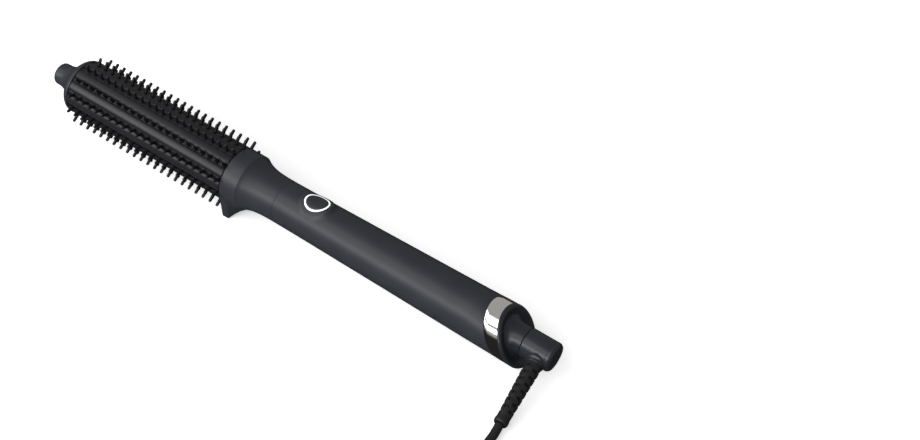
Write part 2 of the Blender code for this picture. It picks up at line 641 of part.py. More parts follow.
def make_cord():
    diameter = 2 * CORD_RADIUS
    first = HANK_BEND - CORD_RADIUS
    last = HANK_BEND + (HANK_COLUMNS - 1) * diameter + CORD_RADIUS
    height = HANK_LAYERS * diameter
    loops = [stadium(HANK_STRAIGHT, last + 0.2 * MM), stadium(HANK_STRAIGHT, first - 0.2 * MM)]
    middle = hank_point(0, 0, height / 2)
    hank = outline("cord_hank", loops, height, RUBBER, middle, (0, 0, HANK_DIRECTION))
    hank.parent = None
    exit_point = BRUSH.matrix_world @ relief_point(RELIEF_END + GAP)
    exit_way = BRUSH.matrix_world.to_3x3() @ RELIEF_DIRECTION
    hank_side = HANK_STRAIGHT / 2 + last + CORD_RADIUS + 0.6 * MM
    lead = [
        exit_point,
        exit_point + exit_way * 6 * MM,
        Vector((0.1635, -0.0600, 2.45 * MM)),
        Vector((0.1700, -0.0700, 2.40 * MM)),
        Vector((0.1775, -0.0780, 2.40 * MM)),
        hank_point(-hank_side, -2 * MM, 2.40 * MM),
    ]
    cord_lead = tube("cord_lead", smooth_route(lead, 8 * MM), CORD_RADIUS, RUBBER)
    cord_lead.parent = None
    top = height + PLUG_SIZE.z / 2 + 0.4 * MM
    plug_start = -20 * MM
    inner_line = HANK_BEND
    tail = []
    for angle, rise in ((-12, 0.7), (0, 1.65), (30, 3.1), (60, 4.25), (90, 4.8)):
        along = -HANK_STRAIGHT / 2 - inner_line * cos(radians(angle))
        across = inner_line * sin(radians(angle))
        tail.append(hank_point(along, across, height + CORD_RADIUS + rise * MM))
    tail.append(hank_point(plug_start - 0.5 * MM, inner_line, top))
    cord_tail = tube("cord_tail", smooth_route(tail, 6 * MM), CORD_RADIUS, RUBBER)
    cord_tail.parent = None
    make_plug(plug_start, inner_line, top)
    make_tie(first, last, height)


def make_plug(start, across, height):
    """A flat two-pin plug: a tapered sleeve, a six-sided body and two pins."""
    sleeve, half_width = 16 * MM, PLUG_SIZE.y / 2
    face = sleeve + PLUG_SIZE.x
    body = [(0, -3.4 * MM), (sleeve, -4.4 * MM), (sleeve + 7 * MM, -half_width), (face, -half_width)]
    points = body + [(x, -y) for x, y in reversed(body)]
    root = hank_point(start, across, height)
    plug = outline("plug_body", [points], PLUG_SIZE.z, RUBBER, root, (0, 0, HANK_DIRECTION))
    plug.parent = None
    for i, side in enumerate((-1, 1)):
        offset = across + side * PIN_SPACING / 2
        root = hank_point(start + face + GAP, offset, height)
        point = hank_point(start + face + PIN_LENGTH, offset, height)
        pin = cylinder(f"plug_pin_{i + 1}", root, point, PIN_RADIUS, BRASS, PIN_RADIUS * 0.8, 14)
        pin.parent = None


def make_tie(first, last, height):
    """A springy clip pushed down over the hank's run on the brush's side, open at the table."""
    gap, thick, foot = 0.5 * MM, 0.9 * MM, 0.1 * MM
    low, high, top = first - gap, last + gap, height + gap
    outer = [(high + thick, foot), (high + thick, top + thick), (low - thick, top + thick), (low - thick, foot)]
    inner = [(low, foot), (low, top), (high, top), (high, foot)]
    turn = (0, pi / 2, HANK_DIRECTION)
    tie = outline("cord_tie", [[(-z, y) for y, z in outer + inner]], 7 * MM, TIE, hank_point(0, 0, 0), turn)
    tie.parent = None


PARTS, CUTTERS = start_scene()
BRUSH = make_axis("brush_axis", (TIP_X, 0, TIP_HEIGHT))
BRUSH.rotation_euler = (0, TILT, 0)
SWIVEL = make_axis("cord_swivel_axis")
BUTTON = make_axis("power_button_axis", (BUTTON_X, 0, BUTTON_AXIS_HEIGHT))
for body_axis in (SWIVEL, BUTTON):
    body_axis.parent = BRUSH
bpy.context.view_layer.update()

PLASTIC = material("charcoal_plastic", (0.048, 0.052, 0.062), 0.42)
SATIN = material("satin_black_plastic", (0.018, 0.019, 0.022), 0.3)
ALUMINIUM = material("coated_aluminium", (0.022, 0.023, 0.027), 0.38, 0.6)
BRISTLE = material("bristle_nylon", (0.012, 0.012, 0.014), 0.25)
CHROME = material("bright_nickel", (0.82, 0.78, 0.72), 0.09, 1.0)
CERAMIC = material("white_ceramic", (0.82, 0.8, 0.76), 0.6)
STEEL = material("zinc_steel", (0.6, 0.61, 0.62), 0.3, 1.0)
BRASS = material("plated_brass", (0.75, 0.66, 0.45), 0.25, 1.0)
COPPER_LEAD = material("wire_insulation", (0.55, 0.06, 0.05), 0.5)
BOARD = material("circuit_board_green", (0.02, 0.14, 0.06), 0.5)
TERMINAL = material("terminal_grey", (0.25, 0.26, 0.27), 0.5)
CAPACITOR = material("capacitor_sleeve", (0.03, 0.05, 0.16), 0.4)
LIGHT = material("light_diffuser", (0.92, 0.93, 0.95), 0.35)
RUBBER = material("cord_rubber", (0.016, 0.016, 0.018), 0.45)
TIE = material("tie_rubber", (0.03, 0.03, 0.034), 0.6)

make_cool_tip()
make_barrel()
make_bristle_strips()
make_heater()
make_barrel_mount()
make_collar()
make_handle_shell()
make_metal_band()
make_end_cap()
make_swivel_neck()
make_chassis()
make_board()
make_power_contacts()
make_button()
make_swivel()
make_strain_relief()
make_cord()
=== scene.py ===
"""Looks of the heated round styling brush: its detailed pieces, materials, cord, light and camera.

The brush has its own axis frame, in millimetres: x runs from the tip to the cord end, z points to
the power button, and psi is the angle in degrees round the axis from the button towards -Y.
"""

import json

from math import atan, atan2, cos, hypot, pi, radians, sin, tan

import bmesh
import bpy
from mathutils import Matrix, Vector


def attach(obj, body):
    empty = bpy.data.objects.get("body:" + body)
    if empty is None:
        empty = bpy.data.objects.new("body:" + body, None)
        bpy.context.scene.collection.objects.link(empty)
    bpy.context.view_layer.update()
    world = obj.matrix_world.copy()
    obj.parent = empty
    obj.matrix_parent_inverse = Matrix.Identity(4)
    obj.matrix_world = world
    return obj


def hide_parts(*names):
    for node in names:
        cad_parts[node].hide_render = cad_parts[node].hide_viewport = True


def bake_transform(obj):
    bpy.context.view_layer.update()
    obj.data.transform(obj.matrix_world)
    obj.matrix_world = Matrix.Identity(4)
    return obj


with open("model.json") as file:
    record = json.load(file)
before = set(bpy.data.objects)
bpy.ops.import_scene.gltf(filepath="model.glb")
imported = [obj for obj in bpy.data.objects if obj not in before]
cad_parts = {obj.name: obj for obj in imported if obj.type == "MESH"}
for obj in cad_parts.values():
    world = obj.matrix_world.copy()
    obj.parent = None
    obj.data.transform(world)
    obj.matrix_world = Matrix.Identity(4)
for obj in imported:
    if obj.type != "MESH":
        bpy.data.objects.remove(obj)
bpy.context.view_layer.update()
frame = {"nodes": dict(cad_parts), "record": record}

MM = 0.001
HEAD_ROWS, PEGS_PER_ROW, ROW_TURN = 12, 22, 7.7
FIRST_PEG, PEG_PITCH, PEG_TIP, PEG_R = 23.9, 4.92, 20.3, 0.84
BARREL_START, BARREL_END = 19.4, 128.2
RIDGE, LIP, CHANNEL, CHANNEL_HALF = 16.0, 15.3, 12.9, 1.3
COLLAR_FRONT, NECK_SEAM, SWELL_END = 128.5, 160.5, 313.0
FOOT_DEPTH, FOOT_REAR, FOOT_HALF = 21.0, 132.6, 12.6
NECK_R, END_R, WALL = 12.1, 14.6, 2.0
BAND_START, BAND_END, END_SLOPE, RIM_X = 298.8, 306.4, 0.59, 307.2
BUTTON_X, BUTTON_HEIGHT, BUTTON_LEAN, BUTTON_CROWN = 181.5, 13.77, 0.083, 18.5
PAD_LENGTH, PAD_WIDTH, HOLE_LENGTH, HOLE_WIDTH, EGG_BLUNT = 16.4, 15.6, 14.8, 12.6, 0.03
SWIVEL_R, SWIVEL_END = 7.95, 330.5
RELIEF_X, RELIEF_END = 322.3, 45.7
RELIEF_WAY = Vector((0.11, -0.967, -0.227)).normalized()
SLOT_FIRST, SLOT_LAST, SLOT_PITCH, SLOT_COLUMNS, SLOT_DEPTH = 11.6, 40.2, 4.2, 6, 1.15
CORD_R, CORD_LENGTH = 2.3, 1.8
HANK_CENTRE, HANK_TURN = Vector((227.2, -54.7, 0)), radians(37.8)
HANK_STRAIGHT, HANK_BEND, PLUG_HEIGHT = 50.0, 13.8, 21.0
HANK_TURNS, POINTS_PER_TURN = 8.115, 48
COLUMNS_IN, COLUMNS_OUT, LAYERS_UP, STEP_TURN = (0.84, 1.84, 6.24, 7.24), (3.54, 4.54), (2.69, 5.39), 0.14
ENTRY_SPREAD, ENTRY_TURN, RISE_START, RISE_TURN = 4.9, 0.22, 7.80, 0.33

SECTOR = 360 / HEAD_ROWS
CHANNEL_EDGE = atan(CHANNEL_HALF / LIP) * 180 / pi
TAIL_REST = RIM_X + END_SLOPE * END_R
TILT = atan2(FOOT_DEPTH - END_R, TAIL_REST - FOOT_REAR)
TIP_HEIGHT = TAIL_REST * sin(TILT) + END_R * cos(TILT)
TIP_X = -SWIVEL_END * cos(TILT) / 2
AXIS = Matrix.Translation(Vector((TIP_X, 0, TIP_HEIGHT)) * MM) @ Matrix.Rotation(TILT, 4, "Y")


# ---------------------------------------------------------------- camera, light and floor


def make_camera():
    """The camera's place and its three directions are given in the brush's axis frame."""
    back, right = Vector((0.332, -0.6407, 0.692)), Vector((0.824, 0.5536, 0.1177))
    back.normalize()
    right = (right - back * right.dot(back)).normalized()
    up = back.cross(right)
    place = Matrix((right, up, back)).transposed().to_4x4()
    place.translation = Vector((507.9, -468.1, 559.7)) * MM
    data = bpy.data.cameras.new("camera")
    data.lens, data.sensor_width = 59.34, 36
    camera = bpy.data.objects.new("camera", data)
    camera.matrix_world = AXIS @ place
    bpy.context.scene.collection.objects.link(camera)
    bpy.context.scene.camera = camera


LIT_PLACE = Vector((-0.05, 0, 0.02))


def make_lamp(name, place, size, power):
    data = bpy.data.lights.new(name, "AREA")
    data.shape = "RECTANGLE"
    data.size, data.size_y = size
    data.energy = power
    lamp = bpy.data.objects.new(name, data)
    lamp.location = place
    lamp.rotation_euler = (LIT_PLACE - Vector(place)).to_track_quat("-Z", "Y").to_euler()
    bpy.context.scene.collection.objects.link(lamp)


def make_studio():
    """A pale sky over a dark ground, a softbox above the near side and a low strip beside it."""
    world = bpy.data.worlds.new("studio")
    world.use_nodes = True
    nodes, links = world.node_tree.nodes, world.node_tree.links
    nodes["Background"].inputs["Color"].default_value = (1, 1, 1, 1)
    way, split = nodes.new("ShaderNodeTexCoord"), nodes.new("ShaderNodeSeparateXYZ")
    horizon = nodes.new("ShaderNodeMapRange")
    for socket, value in (("From Min", -0.08), ("From Max", 0.06), ("To Min", 0.02), ("To Max", 0.40)):
        horizon.inputs[socket].default_value = value
    links.new(way.outputs["Generated"], split.inputs["Vector"])
    links.new(split.outputs["Z"], horizon.inputs["Value"])
    links.new(horizon.outputs["Result"], nodes["Background"].inputs["Strength"])
    bpy.context.scene.world = world
    bpy.context.scene.view_settings.view_transform = "Standard"
    make_lamp("low_strip", (-0.35, -1.11, 0.45), (2.4, 0.32), 22)
    make_lamp("top_softbox", (-0.45, -0.90, 1.28), (3.0, 0.80), 18)
    bpy.ops.mesh.primitive_plane_add(size=6, location=(0, 0, -0.0002))
    floor = bpy.context.active_object
    floor.name = "floor"
    paper = bpy.data.materials.new("floor_paper")
    paper.use_nodes = True
    shader = paper.node_tree.nodes["Principled BSDF"]
    shader.inputs["Base Color"].default_value = (0.93, 0.93, 0.93, 1)
    shader.inputs["Roughness"].default_value = 0.6
    shader.inputs["Emission Color"].default_value = (1, 1, 1, 1)
    shader.inputs["Emission Strength"].default_value = 0.40
    floor.data.materials.append(paper)
    floor.visible_glossy = False


# ---------------------------------------------------------------- materials


BROAD_SIZE = 14
LOOKS = {}


def look(name, colour, roughness, grain, grain_size=0.3, metallic=0.0, mottle=0.08, specular=0.5, glow=0.0):
    """A procedural material. grain is the depth in mm of its fine texture and grain_size its width
    in mm; mottle is how far its colour and gloss wander over the surface."""
    made = bpy.data.materials.new(f"{name}_look")
    made.use_nodes = True
    LOOKS[name] = made
    nodes, links = made.node_tree.nodes, made.node_tree.links
    shader = nodes["Principled BSDF"]
    shader.inputs["Metallic"].default_value = metallic
    shader.inputs["Specular IOR Level"].default_value = specular
    shader.inputs["Emission Color"].default_value = (1, 1, 1, 1)
    shader.inputs["Emission Strength"].default_value = glow
    where = nodes.new("ShaderNodeTexCoord")

    def noise(size, detail):
        texture = nodes.new("ShaderNodeTexNoise")
        texture.inputs["Scale"].default_value = 1 / (size * MM)
        texture.inputs["Detail"].default_value = detail
        links.new(where.outputs["Object"], texture.inputs["Vector"])
        return texture

    def spread(texture, low, high):
        reach = nodes.new("ShaderNodeMapRange")
        for socket, value in (("From Min", 0.3), ("From Max", 0.7), ("To Min", low), ("To Max", high)):
            reach.inputs[socket].default_value = value
        links.new(texture.outputs["Fac"], reach.inputs["Value"])
        return reach

    broad, fine = noise(BROAD_SIZE, 3), noise(grain_size, 2)
    blend = nodes.new("ShaderNodeMix")
    blend.data_type = "RGBA"
    blend.inputs["A"].default_value = (*[c * (1 - mottle) for c in colour], 1)
    blend.inputs["B"].default_value = (*[min(1, c * (1 + mottle)) for c in colour], 1)
    links.new(spread(broad, 0, 1).outputs["Result"], blend.inputs["Factor"])
    links.new(blend.outputs["Result"], shader.inputs["Base Color"])
    gloss = spread(fine, roughness * (1 - mottle), roughness * (1 + mottle))
    links.new(gloss.outputs["Result"], shader.inputs["Roughness"])
    bump = nodes.new("ShaderNodeBump")
    bump.inputs["Strength"].default_value = 1.0
    bump.inputs["Distance"].default_value = grain * MM
    links.new(fine.outputs["Fac"], bump.inputs["Height"])
    links.new(bump.outputs["Normal"], shader.inputs["Normal"])
    return made


CHARCOAL = look("charcoal_plastic", (0.019, 0.021, 0.026), 0.42, 0.008, 0.22, specular=0.25)
SATIN = look("satin_black_plastic", (0.014, 0.016, 0.020), 0.32, 0.004, 0.18, specular=0.3)
COATING = look("coated_aluminium", (0.011, 0.011, 0.013), 0.40, 0.006, 0.35, specular=0.25)
NYLON = look("bristle_nylon", (0.006, 0.006, 0.007), 0.28, 0.004, 0.25, specular=0.25)
NICKEL = look("bright_nickel", (0.80, 0.775, 0.74), 0.085, 0.0006, 0.5, metallic=1.0, mottle=0.05)
look("white_ceramic", (0.82, 0.80, 0.76), 0.6, 0.01, 0.2, mottle=0.04)
look("heater_frame", (0.05, 0.05, 0.055), 0.6, 0.02)
look("zinc_steel", (0.60, 0.61, 0.62), 0.32, 0.004, 0.2, metallic=1.0)
BRASS = look("plated_brass", (0.76, 0.68, 0.50), 0.24, 0.002, 0.4, metallic=1.0)
look("wire_insulation", (0.55, 0.06, 0.05), 0.5, 0.004)
look("circuit_board_green", (0.02, 0.14, 0.06), 0.45, 0.01, 0.25, mottle=0.15)
look("terminal_grey", (0.25, 0.26, 0.27), 0.5, 0.01)
look("capacitor_sleeve", (0.03, 0.05, 0.16), 0.4, 0.003)
LIGHT = look("light_diffuser", (0.93, 0.94, 0.95), 0.30, 0.002, mottle=0.02, glow=0.45)
RUBBER = look("cord_rubber", (0.010, 0.010, 0.011), 0.46, 0.010, 0.25, specular=0.25)
TIE = look("tie_rubber", (0.03, 0.03, 0.034), 0.62, 0.02)


def dress_cad_nodes():
    """The CAD nodes that stay, mostly inside the housing, get the procedural materials too."""
    for entry in frame["record"]["subparts"]:
        node = frame["nodes"][entry["node"]]
        for slot in node.material_slots:
            slot.material = LOOKS[entry["material_slot"]]


# ---------------------------------------------------------------- mesh tools


def at(x, radius, psi):
    return Vector((x, -radius * sin(radians(psi)), radius * cos(radians(psi))))


def placed(name, points, faces, place):
    """An object made of points in millimetres, with doubled points joined and faces turned outwards."""
    mesh = bpy.data.meshes.new(name)
    mesh.from_pydata([Vector(point) * MM for point in points], [], faces)
    shape = bmesh.new()
    shape.from_mesh(mesh)
    bmesh.ops.remove_doubles(shape, verts=shape.verts, dist=0.001 * MM)
    bmesh.ops.recalc_face_normals(shape, faces=shape.faces)
    shape.to_mesh(mesh)
    shape.free()
    made = bpy.data.objects.new(name, mesh)
    made.matrix_world = place
    bpy.context.scene.collection.objects.link(made)
    return made


def piece(name, points, faces, material, body, nodes=(), place=AXIS, sharp=40):
    """A visible piece, which takes the place of the named CAD nodes and rides on a body. Edges
    bent by more than sharp, in degrees, are drawn sharp."""
    made = placed(name, points, faces, place)
    made.data.shade_smooth()
    made.data.set_sharp_from_angle(angle=radians(sharp))
    made.data.materials.append(material)
    if nodes:
        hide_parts(*nodes)
    if body:
        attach(made, body)
    return made


def skin(rings, closed=False):
    """The quads between rings of equally many points; closed joins the last ring to the first."""
    points = [point for ring in rings for point in ring]
    count, faces = len(rings[0]), []
    for row in range(len(rings) if closed else len(rings) - 1):
        after = (row + 1) % len(rings)
        for i in range(count):
            j = (i + 1) % count
            faces.append((row * count + i, row * count + j, after * count + j, after * count + i))
    return points, faces


def filleted(corners, steps=5):
    """A line through corners (x, radius, fillet, extra...), with each corner rounded by its fillet.
    Extra numbers are carried along unchanged to the rounded corner's points."""
    line = []
    for i, (x, radius, fillet, *extra) in enumerate(corners):
        corner = Vector((x, radius))
        if not fillet or i in (0, len(corners) - 1):
            line.append((x, radius, *extra))
            continue
        before = Vector(corners[i - 1][:2]) - corner
        after = Vector(corners[i + 1][:2]) - corner
        half = before.angle(after) / 2
        cut = min(fillet / tan(half), before.length * 0.48, after.length * 0.48)
        middle = corner + (before.normalized() + after.normalized()).normalized() * cut / cos(half)
        start = corner + before.normalized() * cut - middle
        turn = start.angle_signed(corner + after.normalized() * cut - middle)
        for step in range(steps + 1):
            arm = start.copy()
            arm.rotate(Matrix.Rotation(-turn * step / steps, 2))
            line.append((*(middle + arm), *extra))
    return line


def flowing(points, steps):
    """Points on the smooth curve (Catmull-Rom) through the given ones, of any dimension."""
    points = [Vector(point) for point in points]
    ends = [2 * points[0] - points[1]] + points + [2 * points[-1] - points[-2]]
    line = [points[0]]
    for before, start, end, after in zip(ends, ends[1:], ends[2:], ends[3:]):
        for i in range(1, steps + 1):
            t = i / steps
            bend = (2 * before - 5 * start + 4 * end - after) * t**2
            twist = (3 * start - before - 3 * end + after) * t**3
            line.append((2 * start + (end - before) * t + bend + twist) / 2)
    return line


def circle(x, radius, count, slope=0.0):
    """A ring about the axis; one with a slope lies nearer the tip at its top."""
    ring = [at(x, radius, 360 * i / count) for i in range(count)]
    return [point - Vector((slope * point.z, 0, 0)) for point in ring]


def lathe(name, profile, material, body, nodes=(), count=96, place=AXIS):
    """A piece turned about the axis from (x, radius) points."""
    points, faces = skin([circle(x, max(radius, 1e-4), count) for x, radius in profile])
    return piece(name, points, faces, material, body, nodes, place)


def oblique(name, profile, material, nodes, count=120):
    """A hollow piece of the brush from (x, radius, slope) points."""
    points, faces = skin([circle(x, radius, count, slope) for x, radius, slope in profile], closed=True)
    return piece(name, points, faces, material, "brush", nodes)


def ease(t):
    t = min(1.0, max(0.0, t))
    return t * t * (3 - 2 * t)


# ---------------------------------------------------------------- cord, in world coordinates


def hank_point(along, across, height):
    ahead = Vector((cos(HANK_TURN), sin(HANK_TURN), 0))
    aside = Vector((sin(HANK_TURN), -cos(HANK_TURN), 0))
    return HANK_CENTRE + ahead * along + aside * across + Vector((0, 0, height))


def stadium_point(turn, radius):
    """A place on a racetrack, as (along, across). A turn starts at its end beside the brush's
    strain relief and goes first along the run away from the brush."""
    arc, run = pi / 2 * radius, HANK_STRAIGHT
    left = (turn % 1) * (4 * arc + 2 * run)
    if left < arc:
        angle = pi - left / radius
        return -run / 2 + radius * cos(angle), radius * sin(angle)
    left -= arc
    if left < run:
        return left - run / 2, radius
    left -= run
    if left < 2 * arc:
        angle = pi / 2 - left / radius
        return run / 2 + radius * cos(angle), radius * sin(angle)
    left -= 2 * arc
    if left < run:
        return run / 2 - left, -radius
    angle = -pi / 2 - (left - run) / radius
    return -run / 2 + radius * cos(angle), radius * sin(angle)


def hank_place(turn):
    """(radius, height) of the cord's centre after this many turns: three layers of three columns,
    wound inwards, then outwards, then inwards. Each step to the next column or layer has its own
    stretch of the turn, so that the strands never cross."""
    def stepped(starts):
        return sum(ease((turn - start) / STEP_TURN) for start in starts)

    column = 2 - stepped(COLUMNS_IN) + stepped(COLUMNS_OUT)
    layer = stepped(LAYERS_UP)
    return HANK_BEND + column * 2 * CORD_R, CORD_R + 0.02 + layer * 2 * CORD_R


def cord_route():
    """The place where the cord leaves the strain relief, and its whole centre line to the plug."""
    turned = Matrix.Rotation(TILT, 3, "Y")
    exit_point = AXIS @ ((Vector((RELIEF_X, 0, 0)) + RELIEF_WAY * (RELIEF_END + 0.3)) * MM) / MM
    way = turned @ RELIEF_WAY
    lead = [
        exit_point,
        exit_point + way * 6,
        Vector((163.5, -60.0, 2.45)),
        Vector((170.0, -70.0, 2.4)),
        Vector((177.5, -78.0, 2.4)),
        hank_point(-53.2, -2, 2.4),
    ]
    route = flowing(lead, 5)
    for i in range(2, round(HANK_TURNS * POINTS_PER_TURN) + 1):
        turn = i / POINTS_PER_TURN
        radius, height = hank_place(turn)
        radius += ENTRY_SPREAD * (1 - ease(turn / ENTRY_TURN))
        height += (PLUG_HEIGHT - height) * ease((turn - RISE_START) / RISE_TURN)
        along, across = stadium_point(turn, radius)
        route.append(hank_point(along, across, height))
    route += [hank_point(along, HANK_BEND, PLUG_HEIGHT) for along in (-21.9, -20.3)]
    return exit_point, route


def tube_rings(route, radius, count):
    """Rings round a route, each turned as little as possible from the one before."""
    rings, side = [], None
    for i, point in enumerate(route):
        way = (route[min(i + 1, len(route) - 1)] - route[max(i - 1, 0)]).normalized()
        if side is None:
            side = way.orthogonal().normalized()
        side = (side - way * side.dot(way)).normalized()
        other = way.cross(side)
        turns = [2 * pi * j / count for j in range(count)]
        rings.append([point + (side * cos(t) + other * sin(t)) * radius for t in turns])
    return rings


def capped(rings):
    """The rings' skin with a fan over each end."""
    points, faces = skin(rings)
    count = len(rings[0])
    for ring, start in ((rings[0], 0), (rings[-1], (len(rings) - 1) * count)):
        points.append(sum(ring, Vector()) / count)
        faces += [(start + i, start + (i + 1) % count, len(points) - 1) for i in range(count)]
    return points, faces


def make_cord(plug, tie, relief):
    exit_point, route = cord_route()
    rings = tube_rings(route, CORD_R, 14)
    points, faces = capped(rings)
    still = Matrix.Identity(4)
    nodes = ("cord_lead", "cord_hank", "cord_tail")
    cord = piece("mains_cord", points, faces, RUBBER, None, nodes, still, sharp=60)
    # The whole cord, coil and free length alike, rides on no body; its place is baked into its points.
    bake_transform(cord)


# ---------------------------------------------------------------- plug and tie


def hank_frame(along, across, height):
    turn = Matrix.Rotation(HANK_TURN, 4, "Z")
    turn.translation = hank_point(along, across, height) * MM
    return turn


def signed_power(value, power):
    return abs(value) ** power * (1 if value > 0 else -1)


def make_plug():
    """A flat two-pin plug. x runs from the cord to the pins, in millimetres from the sleeve's start."""
    place = hank_frame(-20, HANK_BEND, PLUG_HEIGHT)
    stations = [
        (0.0, 3.0, 3.0), (0.4, 3.4, 3.4), (15.0, 4.3, 4.3), (17.0, 5.6, 5.2), (20.0, 11.5, 6.2),
        (23.0, 16.3, 6.7), (26.0, 17.4, 6.8), (36.0, 17.5, 6.8), (50.2, 17.5, 6.8), (51.4, 17.1, 6.5),
        (52.0, 16.2, 5.8),
    ]
    groove_pitch, groove_depth, sleeve_end = 1.9, 0.5, 16
    turns = [2 * pi * i / 64 for i in range(64)]
    rings = []
    for x, half, deep in flowing(stations, 4):
        if 2.0 < x < 14.0 and int(x / groove_pitch) % 2:
            half, deep = half - groove_depth, deep - groove_depth
        power = 1.0 if x < sleeve_end else 0.38
        rings.append([
            Vector((x, half * signed_power(cos(turn), power), deep * signed_power(sin(turn), power)))
            for turn in turns
        ])
    points, faces = capped(rings)
    body = piece("plug_shell", points, faces, RUBBER, "brush", ["plug_body"], place)
    pin = filleted([
        (52.2, 0, 0), (52.2, 2.0, 0.2), (62.0, 2.0, 0.05), (62.2, 1.85, 0.05), (71.0, 1.7, 1.2), (71.0, 0, 0),
    ])
    pins = []
    for number, aside in ((1, 9.3), (2, -9.3)):
        where = place @ Matrix.Translation((0, aside * MM, 0))
        pins.append(lathe(f"pin_{number}", pin, BRASS, "brush", [f"plug_pin_{number}"], 32, where))
    return [body, *pins]


def make_tie():
    """A springy clip over the hank's run beside the brush."""
    low, high, top = 11.0, 25.8, 14.3
    outer = [(-high - 0.9, 0.1), (-high - 0.9, top + 0.9), (-low + 0.9, top + 0.9), (-low + 0.9, 0.1)]
    inner = [(-low, 0.1), (-low, top), (-high, top), (-high, 0.1)]
    line = filleted([(*p, 1.4) for p in outer]) + filleted([(*p, 0.7) for p in inner])
    rings = [[Vector((x, -y, z)) for y, z in line] for x in (-3.5, -3.2, 3.2, 3.5)]
    points, faces = skin(rings)
    count = len(line)
    half = count // 2
    for start in (0, 3 * count):
        for i in range(half - 1):
            faces.append((start + i, start + i + 1, start + count - 2 - i, start + count - 1 - i))
    return piece("cord_clip", points, faces, TIE, "brush", ["cord_tie"], hank_frame(0, 0, 0))


# ---------------------------------------------------------------- brush head


def make_tip():
    """The cool tip: a dished end, a slim neck to hold it by and a flare up to the barrel."""
    neck = [(0.35, 5.85), (0.8, 6.2), (1.6, 6.42), (4.0, 6.5), (6.5, 6.9), (9.0, 7.9), (11.0, 9.3)]
    flare = [(13.0, 11.3), (15.0, 13.6), (16.6, 15.05), (17.8, 15.65), (18.6, 15.85)]
    face = [(0.25, 0), (0.2, 3.0), (0.0, 4.0), (0.0, 5.2), (0.1, 5.55)]
    line = face + [tuple(point) for point in flowing(neck + flare, 5)]
    line += [(19.0, 15.82), (19.2, 15.6), (19.2, 11.1), (26, 11.1), (26, 0)]
    lathe("tip_cap", line, CHARCOAL, "brush", ["cool_tip"], 120)


def barrel_radius(turn):
    """Radius of the barrel's outside at this angle from the middle of a bristle row, in degrees."""
    turn = abs(turn)
    if turn < CHANNEL_EDGE:
        return CHANNEL
    rise = min(1.0, (turn - CHANNEL_EDGE) / (SECTOR / 2 - CHANNEL_EDGE) * 1.35)
    return LIP + (RIDGE - LIP) * (1 - (1 - rise) ** 2.2)


def make_barrel():
    """A tube with a channel for each bristle row and a gentle ridge between two channels."""
    offsets = [0.0, *[CHANNEL_EDGE * part for part in (0.99, 1.01, 1.12)]]
    offsets += [6.2, 7.2, 8.4, 9.6, 10.8, 12.0, 13.2, 14.2]
    sector = [-turn for turn in reversed(offsets[1:])] + offsets + [SECTOR / 2]
    angles = [(ROW_TURN + SECTOR * row + turn, turn) for row in range(HEAD_ROWS) for turn in sector]
    rings = []
    for x, shrink in ((BARREL_START, 0.8), (BARREL_START + 0.15, 0.3), (BARREL_START + 0.6, 0),
                      (71, 0), (BARREL_END - 0.6, 0), (BARREL_END - 0.15, 0.25), (BARREL_END, 0.7)):
        rings.append([at(x, barrel_radius(turn) - shrink, psi) for psi, turn in angles])
    for x in (BARREL_END, BARREL_START):
        rings.append([at(x, 11.5, psi) for psi, turn in angles])
    points, faces = skin(rings, closed=True)
    piece("barrel_tube", points, faces, COATING, "brush", ["barrel"], sharp=32)


def peg_profile():
    """(height, radius) up a peg from below its strip to its round end."""
    foot = [(13.9, 1.02), (15.2, 1.0), (15.4, 0.96), (16.5, 0.92), (18.3, 0.87), (PEG_TIP - PEG_R, PEG_R)]
    angles = [i * pi / 12 for i in range(1, 6)]
    return foot + [(PEG_TIP - PEG_R + PEG_R * sin(angle), PEG_R * cos(angle)) for angle in angles]


def make_bristles():
    """Each strip is a rounded bar in its channel with a row of round-ended pegs."""
    bar = filleted([(-1.1, 13.2, 0), (-1.1, 15.2, 0.3), (1.1, 15.2, 0.3), (1.1, 13.2, 0)], 3)
    rings = [[Vector((x, y, z)) for y, z in bar] for x in (BARREL_START + 0.4, BARREL_END - 0.4)]
    points, faces = skin(rings)
    sides = 12
    turns = [2 * pi * i / sides for i in range(sides)]
    for number in range(PEGS_PER_ROW):
        x, first = FIRST_PEG + number * PEG_PITCH, len(points)
        levels = [
            [Vector((x + radius * cos(turn), radius * sin(turn), height)) for turn in turns]
            for height, radius in peg_profile()
        ]
        more, quads = skin(levels)
        points += more + [Vector((x, 0, PEG_TIP))]
        faces += [tuple(first + i for i in quad) for quad in quads]
        top = first + (len(levels) - 1) * sides
        faces += [(top + i, top + (i + 1) % sides, len(points) - 1) for i in range(sides)]
    for row in range(HEAD_ROWS):
        place = AXIS @ Matrix.Rotation(radians(ROW_TURN + SECTOR * row), 4, "X")
        name = f"bristle_strip_{row + 1:02}"
        piece(f"bristles_{row + 1:02}", points, faces, NYLON, "brush", [name], place, sharp=50)


# ---------------------------------------------------------------- collar and handle


def foot_radius(turn, radius, depth, half_width):
    """Distance from the axis to the outline that wraps a circle and a flat foot below it. turn is
    measured from straight down, in degrees."""
    reach = 1e9
    for i in range(-88, 89, 2):
        direction = radians(turn + i)
        support = max(radius, depth * cos(direction) + half_width * abs(sin(direction)))
        reach = min(reach, support / cos(radians(i)))
    return reach


